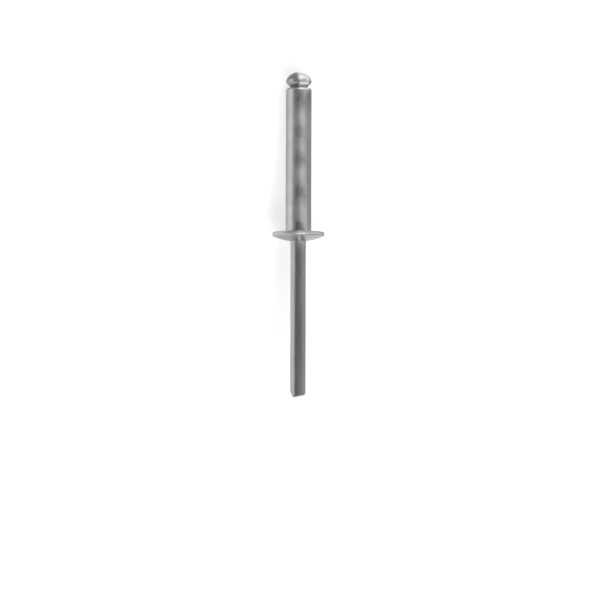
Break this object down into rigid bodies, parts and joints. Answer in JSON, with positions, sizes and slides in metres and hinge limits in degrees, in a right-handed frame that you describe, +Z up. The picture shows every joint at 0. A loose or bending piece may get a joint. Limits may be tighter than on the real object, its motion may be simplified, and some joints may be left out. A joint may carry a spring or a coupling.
{
  "type": "blind rivet",
  "caption": "Unset blind rivet: aluminium tube body with a low domed flange, on a steel mandrel with a round head at the open end and a sheared tail beyond the flange.",
  "frame": {"origin": "middle of the rivet's box in plan, on the surface that the rivet lies on", "axes": "+Y towards the mandrel's head, +Z up, +X across the rivet; the rivet lies on the flange's rim and the mandrel's head, so its own axis dips 5.0 degrees towards the head"},
  "size_m": [0.0098, 0.0607, 0.0098],
  "materials": {
    "body_aluminium": "plain tumbled aluminium, satin",
    "mandrel_steel": "zinc-plated drawn steel, semi-bright"
  },
  "bodies": {
    "root": {"rivet_body": "body_aluminium", "mandrel": "mandrel_steel"}
  },
  "joints": []
}
